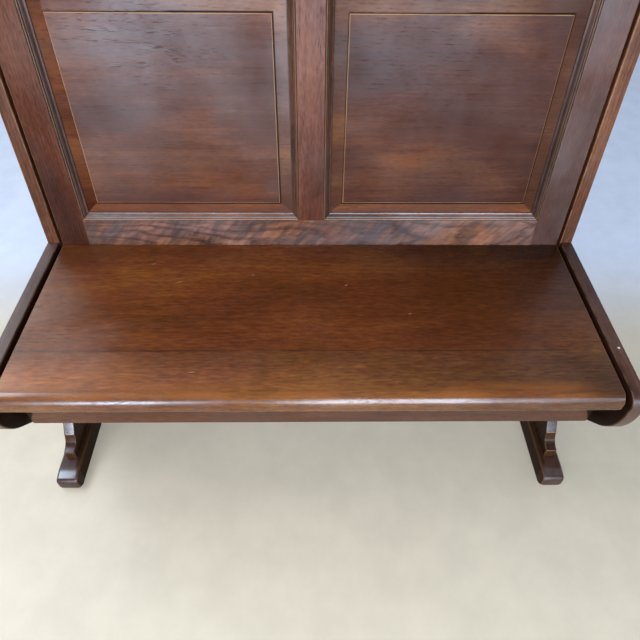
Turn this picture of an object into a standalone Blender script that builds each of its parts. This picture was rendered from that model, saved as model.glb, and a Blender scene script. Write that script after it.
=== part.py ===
"""Panelled oak hall bench on two shaped ends with sled feet.

Metres, +Z up, +X along the bench. The front faces -Y and the floor is Z = 0.
Side views are drawn as (y, z) from the back line, where the back meets the tops of the ends.
The back is drawn in its own sloping plane as (x, depth behind its front face, height along the slope).
"""
import math

import bmesh
import bpy
from mathutils import Matrix, Vector

# Clearance between pieces that touch
FIT = 0.0003

# Ends: each is drawn whole and sawn into an end board, a back post and a leg
ENDS_WIDTH = 1.140
BOARD = 0.025
END_TOP = 0.445
END_BOARD_DEPTH = 0.190
NOSE_REACH = 0.418
SHOULDER_RADIUS = 0.022
BELLY_DROP = 0.035
BELLY_RADIUS = 0.147
BELLY_TURN = math.radians(45.0)
END_EASE = 0.0025

# Back posts
RECLINE = math.radians(6.0)
POST_DEPTH = 0.060
POST_RISE = 0.012
POST_TOP_RADIUS = 0.020
REAR_SWEEP_DROP = 0.162

# Legs: waisted boards with a sharp lip, a hollow below it and an upright edge at the base
LEG_SETBACK = 0.146
LIP_HALF_WIDTH = 0.118
LIP_HEIGHT = 0.051
LIP_SLOPE = math.radians(52.0)
BASE_HALF_WIDTH = 0.150
BASE_EDGE = 0.024
COVE_SAG = 0.0076
FRONT_SWEEP_PULL = 0.210
REAR_SWEEP_PULL = 0.178
LIP_PULL = 0.075
LEG_TENON_WIDTH = 0.130
LEG_TENON_THICKNESS = 0.013
LEG_TENON_LENGTH = 0.026

# Sled feet
FOOT_WIDTH = 0.050
FOOT_HEIGHT = 0.044
FOOT_HALF_LENGTH = 0.206
TOE_BROW = 0.109
TOE_SLOPE = math.radians(16.0)
TOE_RADIUS = 0.012
TOE_UNDER = 0.018
TOE_TUCK = math.radians(50.0)
FOOT_EASE = 0.007

# Dowels in each end
DOWEL_RADIUS = 0.005
DOWEL_LENGTH = 0.050
DOWEL_CHAMFER = 0.001
LEG_DOWEL_SPACING = 0.090
POST_DOWEL_SPACING = 0.080

# Seat and what carries it
SHADOW_GAP = 0.007
SEAT_DROP = 0.005
SEAT_DEPTH = 0.410
SEAT_THICKNESS = 0.034
NOSING_RADIUS = 0.020
NOSING_ARRIS = 0.003
SEAT_EASE = 0.002
APRON_SETBACK = 0.0545
APRON_HEIGHT = 0.118
APRON_THICKNESS = 0.022
BEARER_WIDTH = 0.028
BEARER_HEIGHT = 0.045
LEDGER_WIDTH = 0.030
LEDGER_HEIGHT = 0.030
UNDER_EASE = 0.0015

# Back frame
BACK_LENGTH = 0.560
FRAME_THICKNESS = 0.024
STILE_WIDTH = 0.058
MUNTIN_WIDTH = 0.050
BOTTOM_RAIL_SHOW = 0.0595
TOP_RAIL_HEIGHT = 0.075
FRAME_EASE = 0.0015
TENON_THICKNESS = 0.008
RAIL_TENON_LENGTH = 0.030
MUNTIN_TENON_LENGTH = 0.020
TENON_SHOULDER = 0.012
CLEAT_LAP = 0.020
CLEAT_DEPTH = 0.022
CLEAT_DROP = 0.030

# Raised panels and their mouldings
GROOVE_DEPTH = 0.008
PANEL_PLAY = 0.0008
PANEL_REAR = 0.017
TONGUE_FRONT = 0.011
BEVEL_TOP = 0.008
FIELD_FACE = 0.005
FIELD_DRAFT = 0.0006
MARGIN_WIDTH = 0.025
MOULDING_WIDTH = 0.014
BEAD_RADIUS = 0.002
QUIRK_DEPTH = 0.003
MOULDING_TOE = 0.001

# Faces to each round form
ARC_STEPS = 8
BROW_STEPS = 4
SWEEP_STEPS = 18
MOULDING_STEPS = 5
DOWEL_SIDES = 16
EASE_STEPS = 2

# Places worked out from the sizes above
END_X = (ENDS_WIDTH - BOARD) / 2
END_INNER = ENDS_WIDTH / 2 - BOARD
UNIT_HALF = END_INNER - SHADOW_GAP
JOINT_Z = END_TOP - END_BOARD_DEPTH
SEAT_TOP = END_TOP - SEAT_DROP
SEAT_UNDER = SEAT_TOP - SEAT_THICKNESS
APRON_FACE = -SEAT_DEPTH + APRON_SETBACK
STILE_INNER = UNIT_HALF - STILE_WIDTH
OPENING_WIDTH = STILE_INNER - MUNTIN_WIDTH / 2
OPENING_X = (STILE_INNER + MUNTIN_WIDTH / 2) / 2

# Colours of the stained oak, from the palest pieces to the darkest
SEAT_BROWN = (0.125, 0.042, 0.016)
FRAME_BROWN = (0.100, 0.036, 0.019)
PANEL_BROWN = (0.130, 0.052, 0.030)
POST_BROWN = (0.140, 0.062, 0.032)
END_BROWN = (0.070, 0.034, 0.024)
UNDER_BROWN = (0.120, 0.060, 0.036)
DOWEL_BROWN = (0.300, 0.190, 0.100)


def on_slope(height, depth):
    """Side view place of a point of the back, from its height along the slope and its depth."""
    y = height * math.sin(RECLINE) + depth * math.cos(RECLINE)
    z = END_TOP + height * math.cos(RECLINE) - depth * math.sin(RECLINE)
    return Vector((y, z))


def slope_height(z):
    """Height along the slope at which the front face of the back passes level z."""
    return (z - END_TOP) / math.cos(RECLINE)


POST_TOP = BACK_LENGTH + POST_RISE
FRAME_FOOT = slope_height(SEAT_UNDER - FIT - LEDGER_HEIGHT)
RAIL_TOP = slope_height(SEAT_TOP) + BOTTOM_RAIL_SHOW
TOP_RAIL_FOOT = BACK_LENGTH - TOP_RAIL_HEIGHT
OPENING_HEIGHT = TOP_RAIL_FOOT - RAIL_TOP
OPENING_Z = (TOP_RAIL_FOOT + RAIL_TOP) / 2

# The origin lies under the middle of the bench, between the noses and the rear of the post tops
BACK_LINE = (NOSE_REACH - on_slope(POST_TOP, POST_DEPTH).x) / 2


# Curves

def arc(centre, radius, start, end, steps=ARC_STEPS):
    """Points of a round stretch, from one angle to another."""
    points = []
    for step in range(steps + 1):
        angle = start + (end - start) * step / steps
        points.append(Vector(centre) + radius * Vector((math.cos(angle), math.sin(angle))))
    return points


def sweep(start, start_handle, end_handle, end, steps=SWEEP_STEPS):
    """Points of a cubic curve after its start, with its end."""
    points = []
    for step in range(1, steps + 1):
        t = step / steps
        s = 1.0 - t
        point = start * s ** 3 + start_handle * 3 * s * s * t + end_handle * 3 * s * t * t + end * t ** 3
        points.append(point)
    return points


def hollow(start, end, sag, steps=ARC_STEPS):
    """Points of a shallow hollow after its start, which bows to the left of its way by the sag."""
    way = (end - start).normalized()
    side = Vector((-way.y, way.x))
    points = []
    for step in range(1, steps + 1):
        t = step / steps
        points.append(start.lerp(end, t) + side * sag * 4 * t * (1.0 - t))
    return points


# Meshes

def finished(mesh, name):
    """Turn the faces out and hand the mesh over to Blender."""
    bmesh.ops.recalc_face_normals(mesh, faces=mesh.faces[:])
    data = bpy.data.meshes.new(name)
    mesh.to_mesh(data)
    mesh.free()
    data.shade_smooth()
    data.set_sharp_from_angle(angle=math.radians(28.0))
    return data


def add_loft(mesh, loops):
    """Add a closed skin over loops of equally many points, capped at both ends."""
    rings = [[mesh.verts.new(point) for point in loop] for loop in loops]
    for lower, upper in zip(rings, rings[1:]):
        for index in range(len(lower)):
            after = (index + 1) % len(lower)
            mesh.faces.new((lower[index], lower[after], upper[after], upper[index]))
    mesh.faces.new(rings[0])
    mesh.faces.new(rings[-1])


def add_box(mesh, x_range, y_range, z_range):
    """Add a box between pairs of limits."""
    loops = []
    for z in z_range:
        loops.append([(x_range[0], y_range[0], z), (x_range[1], y_range[0], z),
                      (x_range[1], y_range[1], z), (x_range[0], y_range[1], z)])
    add_loft(mesh, loops)


def add_side_view(mesh, outline, half_width):
    """Add a board cut to a side view, with its thickness along X."""
    loops = []
    for x in (-half_width, half_width):
        loops.append([(x, point.x, point.y) for point in outline])
    add_loft(mesh, loops)


def add_rod(mesh, centre, axis, radius, length):
    """Add a round rod by its middle, its direction, its radius and its length."""
    turn = Vector((0, 0, 1)).rotation_difference(axis).to_matrix().to_4x4()
    bmesh.ops.create_cone(mesh, cap_ends=True, segments=DOWEL_SIDES, radius1=radius, radius2=radius,
                          depth=length, matrix=Matrix.Translation(centre) @ turn)


def ease(mesh, width, kept_faces=(), steps=EASE_STEPS, sharpest=math.radians(50.0)):
    """Round the sharp edges, apart from those that lie in the planes of joint faces."""
    bmesh.ops.recalc_face_normals(mesh, faces=mesh.faces[:])
    edges = []
    for edge in mesh.edges:
        if edge.calc_face_angle(0.0) < sharpest:
            continue
        in_joint = False
        for place, normal in kept_faces:
            offsets = [abs((vert.co - place).dot(normal)) for vert in edge.verts]
            in_joint = in_joint or max(offsets) < FIT / 10
        if not in_joint:
            edges.append(edge)
    bmesh.ops.bevel(mesh, geom=edges, offset=width, segments=steps, profile=0.5, affect='EDGES',
                    clamp_overlap=True)


def saw(mesh, place, normal):
    """Keep what lies on the side of a plane that its normal points to, and close the cut."""
    parts = mesh.verts[:] + mesh.edges[:] + mesh.faces[:]
    cut = bmesh.ops.bisect_plane(mesh, geom=parts, dist=FIT / 100, plane_co=place, plane_no=normal,
                                 clear_inner=True)
    rim = [part for part in cut['geom_cut'] if isinstance(part, bmesh.types.BMEdge)]
    bmesh.ops.holes_fill(mesh, edges=rim, sides=0)


# Objects

def empty(name, parent, location, turn):
    """An empty that carries and tilts a group of pieces."""
    carrier = bpy.data.objects.new(name, None)
    carrier.parent = parent
    carrier.location = location
    carrier.rotation_euler = (turn, 0.0, 0.0)
    bpy.context.collection.objects.link(carrier)
    return carrier


def oak(name, colour, roughness):
    """Stained oak with a satin finish."""
    material = bpy.data.materials.new(name)
    material.use_nodes = True
    shader = material.node_tree.nodes['Principled BSDF']
    shader.inputs['Base Color'].default_value = (*colour, 1.0)
    shader.inputs['Roughness'].default_value = roughness
    shader.inputs['Metallic'].default_value = 0.0
    material.diffuse_color = (*colour, 1.0)
    return material


def piece(name, data, parent, colour, location=(0.0, 0.0, 0.0), turn=0.0, roughness=0.38):
    """One piece of the bench, with its own material, turned in the plane of the back if need be."""
    thing = bpy.data.objects.new(name, data)
    thing.parent = parent
    thing.location = location
    thing.rotation_euler = (0.0, turn, 0.0)
    bpy.context.collection.objects.link(thing)
    thing.data.materials.clear()
    thing.data.materials.append(oak(name + '_oak', colour, roughness))
    return thing


def cutter(name, data, parent, location=(0.0, 0.0, 0.0)):
    """A shape that is cut from pieces or added to one, and isn't a piece itself."""
    thing = bpy.data.objects.new(name, data)
    thing.parent = parent
    thing.location = location
    thing.hide_render = True
    thing.display_type = 'WIRE'
    bpy.context.collection.objects.link(thing)
    return thing


def combine(thing, other, operation):
    """Cut another shape from a piece, or join it on."""
    modifier = thing.modifiers.new(other.name, 'BOOLEAN')
    modifier.operation = operation
    modifier.solver = 'EXACT'
    modifier.object = other


# Ends

def end_outline():
    """Side view of a whole end, from the back line down the front, under the leg and up the post."""
    nose = -NOSE_REACH
    shoulder = (nose + SHOULDER_RADIUS, END_TOP - SHOULDER_RADIUS)
    belly = (nose + BELLY_RADIUS, END_TOP - BELLY_DROP)
    points = [Vector((0.0, END_TOP))]
    points += arc(shoulder, SHOULDER_RADIUS, math.pi / 2, math.pi)
    points += arc(belly, BELLY_RADIUS, math.pi, math.pi + BELLY_TURN)
    foot_top = FOOT_HEIGHT + FIT
    lip_level = foot_top + LIP_HEIGHT
    pull = LIP_PULL * Vector((math.cos(LIP_SLOPE), math.sin(LIP_SLOPE)))
    away = Vector((math.sin(BELLY_TURN), -math.cos(BELLY_TURN)))
    front_lip = Vector((-LEG_SETBACK - LIP_HALF_WIDTH, lip_level))
    front_base = Vector((-LEG_SETBACK - BASE_HALF_WIDTH, foot_top))
    rear_lip = Vector((-LEG_SETBACK + LIP_HALF_WIDTH, lip_level))
    rear_base = Vector((-LEG_SETBACK + BASE_HALF_WIDTH, foot_top))
    edge_rise = Vector((0.0, BASE_EDGE))
    sweep_top = Vector((POST_DEPTH, END_TOP - REAR_SWEEP_DROP))
    rear_pull = REAR_SWEEP_PULL * Vector((-away.x, away.y))
    points += sweep(points[-1], points[-1] + FRONT_SWEEP_PULL * away, front_lip + pull, front_lip)
    points += hollow(front_lip, front_base + edge_rise, COVE_SAG)
    points += [front_base, rear_base, rear_base + edge_rise]
    points += hollow(rear_base + edge_rise, rear_lip, COVE_SAG)
    points += sweep(rear_lip, rear_lip + Vector((-pull.x, pull.y)), sweep_top + rear_pull, sweep_top)
    kink = POST_DEPTH * math.tan(RECLINE / 2)
    points.append(on_slope(kink, POST_DEPTH))
    points.append(on_slope(POST_TOP, POST_DEPTH))
    corner = on_slope(POST_TOP - POST_TOP_RADIUS, POST_TOP_RADIUS)
    points += arc(corner, POST_TOP_RADIUS, math.pi / 2 - RECLINE, math.pi - RECLINE)
    return points


def joint_faces():
    """Planes of the saw cuts through an end, each as a place and a direction."""
    level = Vector((0.0, 0.0, JOINT_Z))
    line = Vector((0.0, 0.0, END_TOP))
    up = Vector((0.0, 0.0, 1.0))
    rear = Vector((0.0, 1.0, 0.0))
    return {'board_foot': (level + up * FIT / 2, up), 'leg_head': (level - up * FIT / 2, -up),
            'board_rear': (line - rear * FIT / 2, -rear), 'post_front': (line + rear * FIT / 2, rear)}


def end_piece(name, cuts):
    """One board of an end, sawn from the whole side view."""
    mesh = bmesh.new()
    add_side_view(mesh, end_outline(), BOARD / 2)
    planes = [joint_faces()[cut] for cut in cuts]
    for place, normal in planes:
        saw(mesh, place, normal)
    under = (Vector((0.0, 0.0, FOOT_HEIGHT + FIT)), Vector((0.0, 0.0, 1.0)))
    ease(mesh, END_EASE, planes + [under])
    return finished(mesh, name)


def leg_tenon(clearance):
    """Tenon under a leg, or its mortise when it has a clearance all round."""
    mesh = bmesh.new()
    half_width = LEG_TENON_WIDTH / 2 + clearance
    half_thickness = LEG_TENON_THICKNESS / 2 + clearance
    root = FOOT_HEIGHT + LEG_TENON_LENGTH
    tip = FOOT_HEIGHT - LEG_TENON_LENGTH - clearance
    add_box(mesh, (-half_thickness, half_thickness),
            (-LEG_SETBACK - half_width, -LEG_SETBACK + half_width), (tip, root))
    return finished(mesh, 'leg_tenon')


def foot_data():
    """Sled foot: a bar whose top falls in a long brow to a tight round at each toe, tucked in below."""
    rear = FOOT_HALF_LENGTH - LEG_SETBACK
    front = -FOOT_HALF_LENGTH - LEG_SETBACK
    brow_level = FOOT_HEIGHT - TOE_BROW
    brow_back = TOE_RADIUS + (TOE_BROW - TOE_RADIUS) * math.sin(TOE_SLOPE)
    round_level = brow_level + (TOE_BROW - TOE_RADIUS) * math.cos(TOE_SLOPE)
    turn = math.pi / 2 - TOE_SLOPE
    tip_level = TOE_UNDER * math.sin(TOE_TUCK)
    outline = arc((rear - TOE_UNDER, tip_level), TOE_UNDER, -TOE_TUCK, 0.0, BROW_STEPS)
    outline += arc((rear - TOE_RADIUS, round_level), TOE_RADIUS, 0.0, turn)
    outline += arc((rear - brow_back, brow_level), TOE_BROW, turn, math.pi / 2, BROW_STEPS)[1:]
    outline += arc((front + brow_back, brow_level), TOE_BROW, math.pi / 2, math.pi - turn, BROW_STEPS)
    outline += arc((front + TOE_RADIUS, round_level), TOE_RADIUS, math.pi - turn, math.pi)[1:]
    outline += arc((front + TOE_UNDER, tip_level), TOE_UNDER, math.pi, math.pi + TOE_TUCK, BROW_STEPS)
    mesh = bmesh.new()
    add_side_view(mesh, outline, FOOT_WIDTH / 2)
    floor = (Vector((0.0, 0.0, 0.0)), Vector((0.0, 0.0, 1.0)))
    ease(mesh, FOOT_EASE, [floor])
    return finished(mesh, 'foot')


def dowel_places():
    """Middle and direction of each dowel of an end, under the end board and in front of the post."""
    places = {}
    for number in range(3):
        y = -LEG_SETBACK + (number - 1) * LEG_DOWEL_SPACING
        places['leg_dowel_%d' % (number + 1)] = (Vector((0.0, y, JOINT_Z)), Vector((0.0, 0.0, 1.0)))
    middle = END_TOP - END_BOARD_DEPTH / 2
    for number in range(2):
        z = middle + (number - 0.5) * POST_DOWEL_SPACING
        places['post_dowel_%d' % (number + 1)] = (Vector((0.0, 0.0, z)), Vector((0.0, 1.0, 0.0)))
    return places


def dowel_data(axis):
    """Dowel with chamfered ends, along the given direction."""
    mesh = bmesh.new()
    add_rod(mesh, Vector((0.0, 0.0, 0.0)), axis, DOWEL_RADIUS, DOWEL_LENGTH)
    ease(mesh, DOWEL_CHAMFER, steps=1)
    return finished(mesh, 'dowel')


def make_end(side, sign, bench):
    """Board, post, leg, foot and dowels of one end."""
    here = (sign * END_X, 0.0, 0.0)
    board = piece(side + '_end_board', end_piece('end_board', ('board_foot', 'board_rear')), bench,
                  END_BROWN, here)
    post = piece(side + '_back_post', end_piece('back_post', ('board_foot', 'post_front')), bench,
                 POST_BROWN, here)
    leg = piece(side + '_leg', end_piece('leg', ('leg_head',)), bench, END_BROWN, here)
    foot = piece(side + '_foot', foot_data(), bench, END_BROWN, here)
    combine(leg, cutter(side + '_leg_tenon', leg_tenon(0.0), bench, here), 'UNION')
    combine(foot, cutter(side + '_foot_mortise', leg_tenon(FIT), bench, here), 'DIFFERENCE')
    bores = bmesh.new()
    for name, (middle, axis) in dowel_places().items():
        add_rod(bores, middle, axis, DOWEL_RADIUS + FIT, DOWEL_LENGTH + 2 * FIT)
        piece(side + '_' + name, dowel_data(axis), bench, DOWEL_BROWN, Vector(here) + middle, roughness=0.7)
    bored = cutter(side + '_dowel_bores', finished(bores, 'dowel_bores'), bench, here)
    for board_piece in (board, post, leg):
        combine(board_piece, bored, 'DIFFERENCE')


# Seat and under-frame

def back_face(z, clearance):
    """How far back a level piece reaches at height z, short of the front face of the back."""
    return on_slope(slope_height(z), 0.0).x - clearance / math.cos(RECLINE)


def seat_data():
    """Seat plank with a round nosing, its back edge bevelled to the slope of the back."""
    front = -SEAT_DEPTH
    outline = [Vector((back_face(SEAT_TOP, FIT), SEAT_TOP))]
    outline += arc((front + NOSING_RADIUS, SEAT_TOP - NOSING_RADIUS), NOSING_RADIUS, math.pi / 2, math.pi)
    outline += arc((front + NOSING_ARRIS, SEAT_UNDER + NOSING_ARRIS), NOSING_ARRIS, math.pi,
                   1.5 * math.pi, EASE_STEPS)
    outline.append(Vector((back_face(SEAT_UNDER, FIT), SEAT_UNDER)))
    mesh = bmesh.new()
    add_side_view(mesh, outline, UNIT_HALF)
    ease(mesh, SEAT_EASE)
    return finished(mesh, 'seat')


def apron_data():
    """Plain board under the front of the seat."""
    mesh = bmesh.new()
    top = SEAT_UNDER - FIT
    add_box(mesh, (-UNIT_HALF, UNIT_HALF), (APRON_FACE, APRON_FACE + APRON_THICKNESS),
            (top - APRON_HEIGHT, top))
    ease(mesh, UNDER_EASE)
    return finished(mesh, 'front_apron')


def ledger_front():
    """Front face of the ledger, from the back line."""
    return back_face(SEAT_UNDER - FIT - LEDGER_HEIGHT, FIT) - LEDGER_WIDTH


def ledger_data():
    """Ledger under the back edge of the seat, bevelled to the back like the seat."""
    top = SEAT_UNDER - FIT
    under = top - LEDGER_HEIGHT
    outline = [Vector((back_face(top, FIT), top)), Vector((ledger_front(), top)),
               Vector((ledger_front(), under)), Vector((back_face(under, FIT), under))]
    mesh = bmesh.new()
    add_side_view(mesh, outline, UNIT_HALF)
    ease(mesh, UNDER_EASE)
    return finished(mesh, 'rear_ledger')


def bearer_data():
    """Bearer from the apron to the ledger, centred on its own width."""
    mesh = bmesh.new()
    top = SEAT_UNDER - FIT
    add_box(mesh, (-BEARER_WIDTH / 2, BEARER_WIDTH / 2),
            (APRON_FACE + APRON_THICKNESS + FIT, ledger_front() - FIT), (top - BEARER_HEIGHT, top))
    ease(mesh, UNDER_EASE)
    return finished(mesh, 'seat_bearer')


def make_seat(bench):
    """Seat, apron, ledger and the two bearers."""
    piece('seat', seat_data(), bench, SEAT_BROWN, roughness=0.32)
    piece('front_apron', apron_data(), bench, UNDER_BROWN)
    piece('rear_ledger', ledger_data(), bench, UNDER_BROWN, roughness=0.6)
    bearer_x = END_INNER - FIT - BEARER_WIDTH / 2
    for side, sign in (('left', -1), ('right', 1)):
        piece(side + '_seat_bearer', bearer_data(), bench, UNDER_BROWN, (sign * bearer_x, 0.0, 0.0),
              roughness=0.6)


# Back frame

def tenon_depths(clearance):
    """Front and rear of a tenon in the thickness of the frame, behind the tongue of the panels."""
    middle = (TONGUE_FRONT + PANEL_REAR) / 2
    half = TENON_THICKNESS / 2 + clearance
    return (middle - half, middle + half)


def rail_tenon_range(foot, head):
    """Height of a rail's tenon, short of its edges and of the panel groove."""
    return (foot + TENON_SHOULDER, head - TENON_SHOULDER)


BOTTOM_TENON = rail_tenon_range(FRAME_FOOT, RAIL_TOP)
TOP_TENON = rail_tenon_range(TOP_RAIL_FOOT, BACK_LENGTH)


def frame_bar(name, x_range, z_range, joint_planes):
    """Plain bar of the back frame with its free edges eased."""
    mesh = bmesh.new()
    add_box(mesh, x_range, (0.0, FRAME_THICKNESS), z_range)
    ease(mesh, FRAME_EASE, joint_planes)
    return finished(mesh, name)


def boxes(name, limits):
    """Several boxes in one shape, for cutting or joining."""
    mesh = bmesh.new()
    for x_range, y_range, z_range in limits:
        add_box(mesh, x_range, y_range, z_range)
    return finished(mesh, name)


def groove_depths():
    """Front and rear of the panel groove in the thickness of the frame."""
    return (TONGUE_FRONT - FIT, PANEL_REAR + FIT)


def make_stile(side, sign, back):
    """Stile of the back, grooved for its panel and mortised for the rails."""
    inner = (Vector((-sign * STILE_WIDTH / 2, 0.0, 0.0)), Vector((1.0, 0.0, 0.0)))
    data = frame_bar('stile', (-STILE_WIDTH / 2, STILE_WIDTH / 2), (FRAME_FOOT, BACK_LENGTH), [inner])
    here = (sign * (UNIT_HALF - STILE_WIDTH / 2), 0.0, 0.0)
    stile = piece(side + '_stile', data, back, FRAME_BROWN, here)
    open_end = -sign * (STILE_WIDTH / 2 + GROOVE_DEPTH)
    groove_end = -sign * (STILE_WIDTH / 2 - GROOVE_DEPTH)
    mortise_end = -sign * (STILE_WIDTH / 2 - RAIL_TENON_LENGTH - FIT)
    groove = (RAIL_TOP - GROOVE_DEPTH, TOP_RAIL_FOOT + GROOVE_DEPTH)
    limits = [(sorted((open_end, groove_end)), groove_depths(), groove)]
    for foot, head in (BOTTOM_TENON, TOP_TENON):
        limits.append((sorted((open_end, mortise_end)), tenon_depths(FIT), (foot - FIT, head + FIT)))
    combine(stile, cutter(side + '_stile_cuts', boxes('stile_cuts', limits), back, here), 'DIFFERENCE')


def make_rail(name, z_range, tenon, groove_edge, inward, back):
    """Rail with a tenon at each end, a panel groove along one edge and a mortise for the muntin."""
    half = STILE_INNER - FIT
    up = Vector((0.0, 0.0, 1.0))
    side = Vector((1.0, 0.0, 0.0))
    planes = [(Vector((half, 0.0, 0.0)), side), (Vector((-half, 0.0, 0.0)), side),
              (Vector((0.0, 0.0, groove_edge)), up)]
    rail = piece(name, frame_bar(name, (-half, half), z_range, planes), back, FRAME_BROWN)
    reach = half + FIT + RAIL_TENON_LENGTH
    tenons = []
    for sign in (-1, 1):
        tenons.append((sorted((sign * (half - RAIL_TENON_LENGTH), sign * reach)), tenon_depths(0.0), tenon))
    clear = groove_edge + inward * GROOVE_DEPTH
    groove_end = groove_edge - inward * GROOVE_DEPTH
    mortise_end = groove_edge - inward * (MUNTIN_TENON_LENGTH + FIT)
    groove_x = MUNTIN_WIDTH / 2 - GROOVE_DEPTH
    mortise_x = muntin_tenon_half() + FIT
    cuts = [((-mortise_x, mortise_x), tenon_depths(FIT), sorted((clear, mortise_end)))]
    for sign in (-1, 1):
        run = sorted((sign * groove_x, sign * (half + GROOVE_DEPTH)))
        cuts.append((run, groove_depths(), sorted((clear, groove_end))))
    combine(rail, cutter(name + '_cuts', boxes('rail_cuts', cuts), back), 'DIFFERENCE')
    combine(rail, cutter(name + '_tenons', boxes('rail_tenons', tenons), back), 'UNION')


def muntin_tenon_half():
    """Half width of the muntin's tenons, inside its grooves."""
    return MUNTIN_WIDTH / 2 - GROOVE_DEPTH - TENON_SHOULDER / 2


def make_muntin(back):
    """Muntin between the rails, grooved on both sides, with a tenon at each end."""
    half = MUNTIN_WIDTH / 2
    low = RAIL_TOP + FIT
    high = TOP_RAIL_FOOT - FIT
    up = Vector((0.0, 0.0, 1.0))
    side = Vector((1.0, 0.0, 0.0))
    planes = [(Vector((0.0, 0.0, low)), up), (Vector((0.0, 0.0, high)), up),
              (Vector((half, 0.0, 0.0)), side), (Vector((-half, 0.0, 0.0)), side)]
    muntin = piece('muntin', frame_bar('muntin', (-half, half), (low, high), planes), back, FRAME_BROWN)
    grooves = []
    for sign in (-1, 1):
        run = sorted((sign * (half - GROOVE_DEPTH), sign * (half + GROOVE_DEPTH)))
        grooves.append((run, groove_depths(), (low - GROOVE_DEPTH, high + GROOVE_DEPTH)))
    width = (-muntin_tenon_half(), muntin_tenon_half())
    lower = (RAIL_TOP - MUNTIN_TENON_LENGTH, low + MUNTIN_TENON_LENGTH)
    upper = (high - MUNTIN_TENON_LENGTH, TOP_RAIL_FOOT + MUNTIN_TENON_LENGTH)
    tenons = [(width, tenon_depths(0.0), lower), (width, tenon_depths(0.0), upper)]
    combine(muntin, cutter('muntin_grooves', boxes('muntin_grooves', grooves), back), 'DIFFERENCE')
    combine(muntin, cutter('muntin_tenons', boxes('muntin_tenons', tenons), back), 'UNION')


def cleat_data():
    """Cleat in the corner behind a stile and beside a post, which closes the gap down to the foot."""
    half = (CLEAT_LAP + SHADOW_GAP - FIT) / 2
    mesh = bmesh.new()
    front = FRAME_THICKNESS + FIT
    add_box(mesh, (-half, half), (front, front + CLEAT_DEPTH), (FRAME_FOOT, BACK_LENGTH - CLEAT_DROP))
    ease(mesh, UNDER_EASE)
    return finished(mesh, 'back_cleat')


# Panels and mouldings

def rectangle(half_x, half_z, depth):
    """Corners of a rectangle in the plane of the back."""
    return [(-half_x, depth, -half_z), (half_x, depth, -half_z), (half_x, depth, half_z),
            (-half_x, depth, half_z)]


def panel_data():
    """Raised and fielded panel: a tongue all round, a bevelled margin and a stepped-up field."""
    tongue_x = OPENING_WIDTH / 2 + GROOVE_DEPTH - PANEL_PLAY
    tongue_z = OPENING_HEIGHT / 2 + GROOVE_DEPTH - PANEL_PLAY
    border = MOULDING_WIDTH + MARGIN_WIDTH
    field_x = OPENING_WIDTH / 2 - border
    field_z = OPENING_HEIGHT / 2 - border
    mesh = bmesh.new()
    add_loft(mesh, [rectangle(tongue_x, tongue_z, PANEL_REAR),
                    rectangle(tongue_x, tongue_z, TONGUE_FRONT),
                    rectangle(OPENING_WIDTH / 2, OPENING_HEIGHT / 2, TONGUE_FRONT),
                    rectangle(field_x, field_z, BEVEL_TOP),
                    rectangle(field_x - FIELD_DRAFT, field_z - FIELD_DRAFT, FIELD_FACE)])
    return finished(mesh, 'panel')


def margin_depth(inset):
    """Depth of the panel's bevelled margin at an inset from the edge of the opening."""
    share = inset / (MOULDING_WIDTH + MARGIN_WIDTH)
    return TONGUE_FRONT + (BEVEL_TOP - TONGUE_FRONT) * share


def moulding_profile():
    """Section of a panel moulding as (inset, depth): a bead, a quirk and an ogee down to the panel."""
    outer = FIT
    inner = MOULDING_WIDTH
    bead = (outer + BEAD_RADIUS, BEAD_RADIUS)
    points = [Vector((outer, margin_depth(outer) - FIT))]
    points += arc(bead, BEAD_RADIUS, math.pi, 2 * math.pi, MOULDING_STEPS)
    start = Vector((outer + 2 * BEAD_RADIUS, QUIRK_DEPTH))
    toe = Vector((inner, margin_depth(inner) - FIT - MOULDING_TOE))
    middle = (start.x + toe.x) / 2
    points.append(start)
    points += sweep(start, Vector((middle, start.y)), Vector((middle, toe.y)), toe, MOULDING_STEPS)
    points.append(Vector((inner, margin_depth(inner) - FIT)))
    return points


def moulding_data(opening_across, opening_along):
    """Strip along one edge of an opening, under its middle, with both ends mitred."""
    loops = []
    for end in (-1, 1):
        loop = []
        for point in moulding_profile():
            reach = opening_along / 2 - point.x - FIT
            loop.append((end * reach, point.y, point.x - opening_across / 2))
        loops.append(loop)
    mesh = bmesh.new()
    add_loft(mesh, loops)
    return finished(mesh, 'moulding')


def make_panel(side, sign, back):
    """Panel of one half of the back, with its four mouldings."""
    here = (sign * OPENING_X, 0.0, OPENING_Z)
    piece(side + '_panel', panel_data(), back, PANEL_BROWN, here, roughness=0.30)
    for edge, quarter in (('bottom', 0), ('left', 1), ('top', 2), ('right', 3)):
        if quarter % 2:
            data = moulding_data(OPENING_WIDTH, OPENING_HEIGHT)
        else:
            data = moulding_data(OPENING_HEIGHT, OPENING_WIDTH)
        piece('%s_panel_%s_moulding' % (side, edge), data, back, FRAME_BROWN, here, quarter * math.pi / 2)


def make_back(back):
    """Frame, cleats, panels and mouldings of the back."""
    make_rail('bottom_rail', (FRAME_FOOT, RAIL_TOP), BOTTOM_TENON, RAIL_TOP, 1, back)
    make_rail('top_rail', (TOP_RAIL_FOOT, BACK_LENGTH), TOP_TENON, TOP_RAIL_FOOT, -1, back)
    make_muntin(back)
    cleat_x = END_INNER - FIT - (CLEAT_LAP + SHADOW_GAP - FIT) / 2
    for side, sign in (('left', -1), ('right', 1)):
        make_stile(side, sign, back)
        make_panel(side, sign, back)
        piece(side + '_back_cleat', cleat_data(), back, UNDER_BROWN, (sign * cleat_x, 0.0, 0.0),
              roughness=0.6)


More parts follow.
